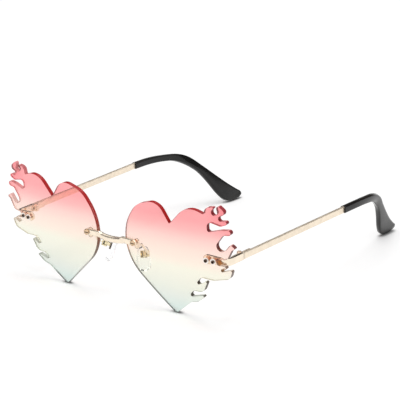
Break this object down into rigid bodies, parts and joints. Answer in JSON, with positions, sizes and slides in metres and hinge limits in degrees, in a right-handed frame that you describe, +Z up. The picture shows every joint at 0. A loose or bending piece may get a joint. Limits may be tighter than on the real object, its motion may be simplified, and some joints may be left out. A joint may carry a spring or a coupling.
{
  "type": "heart shaped sunglasses",
  "caption": "Rimless sunglasses with curved heart lenses flame-cut along the outer edge, slim metal bridge and folding temples, clear nose pads and dark moulded tips.",
  "frame": {"origin": "middle of the footprint on the table, with the temples open", "axes": "+X to the wearer's left, +Y back along the temples, +Z up"},
  "size_m": [0.1338, 0.1572, 0.0543],
  "materials": {
    "lens_tint": "polished tinted plastic, pink at the top to pale below",
    "gold_metal": "polished pale gold plating",
    "screw_metal": "turned metal",
    "clear_plastic": "clear moulded plastic",
    "tip_black": "satin black moulding"
  },
  "bodies": {
    "front": {"lens_left": "lens_tint", "lens_right": "lens_tint", "pin_washers": "clear_plastic", "bridge_screws": "screw_metal", "pin_screws": "screw_metal", "bridge": "gold_metal", "pad_arm_left": "gold_metal", "pad_arm_right": "gold_metal", "pad_box_left": "gold_metal", "pad_box_right": "gold_metal", "pad_screws": "screw_metal", "endpiece_left": "gold_metal", "endpiece_right": "gold_metal", "hinge_front_leaf_left": "gold_metal", "hinge_front_leaf_right": "gold_metal", "hinge_screws": "screw_metal"},
    "temple_left": {"temple_left": "gold_metal", "temple_tip_left": "tip_black", "hinge_temple_leaf_left": "gold_metal"},
    "pad_left": {"pad_lug_left": "gold_metal", "nose_pad_left": "clear_plastic"},
    "temple_right": {"temple_right": "gold_metal", "temple_tip_right": "tip_black", "hinge_temple_leaf_right": "gold_metal"},
    "pad_right": {"pad_lug_right": "gold_metal", "nose_pad_right": "clear_plastic"}
  },
  "joints": [
    {"name": "fold_left", "type": "hinge", "parent": "front", "child": "temple_left", "pos_m": [0.0601, -0.0615, 0.02889], "axis": [-0.0005, -0.0244, 0.9997], "range_deg": [0, 92]},
    {"name": "fold_right", "type": "hinge", "parent": "front", "child": "temple_right", "pos_m": [-0.0601, -0.0615, 0.02889], "axis": [-0.0005, 0.0244, -0.9997], "range_deg": [0, 84]},
    {"name": "rock_left", "type": "hinge", "parent": "front", "child": "pad_left", "pos_m": [0.0124, -0.06704, 0.0219], "axis": [-0.25, 0.2588, 0.933], "range_deg": [-10, 10]},
    {"name": "rock_right", "type": "hinge", "parent": "front", "child": "pad_right", "pos_m": [-0.0124, -0.06704, 0.0219], "axis": [0.25, 0.2588, 0.933], "range_deg": [-10, 10]}
  ]
}
